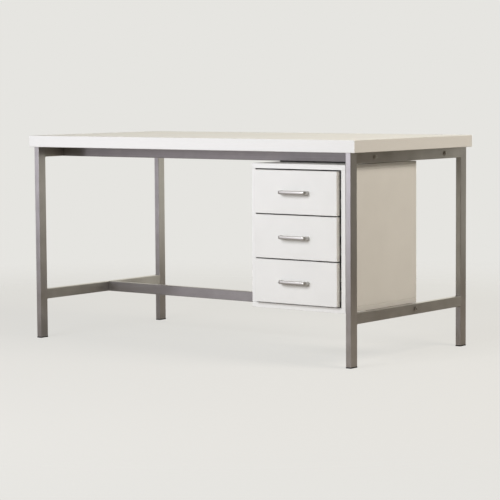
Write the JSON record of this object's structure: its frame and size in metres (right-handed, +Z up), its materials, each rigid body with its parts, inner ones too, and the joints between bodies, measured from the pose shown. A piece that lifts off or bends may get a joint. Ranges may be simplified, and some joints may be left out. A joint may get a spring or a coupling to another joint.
{
  "type": "writing desk with drawers",
  "caption": "Rectangular writing desk: thick white board top on a slim steel tube frame, with a hung drawer cabinet under its right end.",
  "frame": {"origin": "on the floor, under the middle of the whole desk's box", "axes": "+X to the right of a person sitting at the desk, where the cabinet is, +Y to the back, +Z up"},
  "size_m": [1.4, 0.734, 0.72],
  "materials": {
    "white_board": "white melamine-faced chipboard, satin",
    "steel_tube": "brushed along the tube, clear lacquered",
    "handle": "satin nickel plated",
    "bolt": "zinc plated",
    "zinc_steel": "bright zinc plated",
    "glide": "moulded black nylon",
    "spacer": "black nylon strip",
    "hardboard": "white-faced hardboard"
  },
  "bodies": {
    "desk": {"tabletop": "white_board", "leg_front_left": "steel_tube", "leg_front_right": "steel_tube", "leg_back_left": "steel_tube", "leg_back_right": "steel_tube", "side_rail_upper_left": "steel_tube", "side_rail_upper_right": "steel_tube", "side_rail_lower_left": "steel_tube", "side_rail_lower_right": "steel_tube", "beam_front": "steel_tube", "beam_back": "steel_tube", "stretcher": "steel_tube", "glide_front_left": "glide", "glide_front_right": "glide", "glide_back_left": "glide", "glide_back_right": "glide", "beam_bolt_front_left": "bolt", "beam_bolt_front_right": "bolt", "beam_bolt_back_left": "bolt", "beam_bolt_back_right": "bolt", "stretcher_bolt_left": "bolt", "stretcher_bolt_right": "bolt", "cabinet_bottom": "white_board", "cabinet_top": "white_board", "cabinet_side_left": "white_board", "cabinet_side_right": "white_board", "cabinet_back": "white_board", "cabinet_spacer": "spacer", "cabinet_screw_left": "zinc_steel", "cabinet_screw_right": "zinc_steel", "slide_1_left_cabinet": "zinc_steel", "slide_1_right_cabinet": "zinc_steel", "slide_2_left_cabinet": "zinc_steel", "slide_2_right_cabinet": "zinc_steel", "slide_3_left_cabinet": "zinc_steel", "slide_3_right_cabinet": "zinc_steel"},
    "drawer_1": {"drawer_1_front": "white_board", "drawer_1_side_left": "white_board", "drawer_1_side_right": "white_board", "drawer_1_back": "white_board", "drawer_1_bottom": "hardboard", "drawer_1_handle": "handle", "slide_1_left_drawer": "zinc_steel", "slide_1_right_drawer": "zinc_steel"},
    "drawer_2": {"drawer_2_front": "white_board", "drawer_2_side_left": "white_board", "drawer_2_side_right": "white_board", "drawer_2_back": "white_board", "drawer_2_bottom": "hardboard", "drawer_2_handle": "handle", "slide_2_left_drawer": "zinc_steel", "slide_2_right_drawer": "zinc_steel"},
    "drawer_3": {"drawer_3_front": "white_board", "drawer_3_side_left": "white_board", "drawer_3_side_right": "white_board", "drawer_3_back": "white_board", "drawer_3_bottom": "hardboard", "drawer_3_handle": "handle", "slide_3_left_drawer": "zinc_steel", "slide_3_right_drawer": "zinc_steel"}
  },
  "joints": [
    {"name": "drawer_1_slide", "type": "slide", "parent": "desk", "child": "drawer_1", "axis": [0, -1, 0], "range_m": [0, 0.26]},
    {"name": "drawer_2_slide", "type": "slide", "parent": "desk", "child": "drawer_2", "axis": [0, -1, 0], "range_m": [0, 0.26]},
    {"name": "drawer_3_slide", "type": "slide", "parent": "desk", "child": "drawer_3", "axis": [0, -1, 0], "range_m": [0, 0.26]}
  ]
}
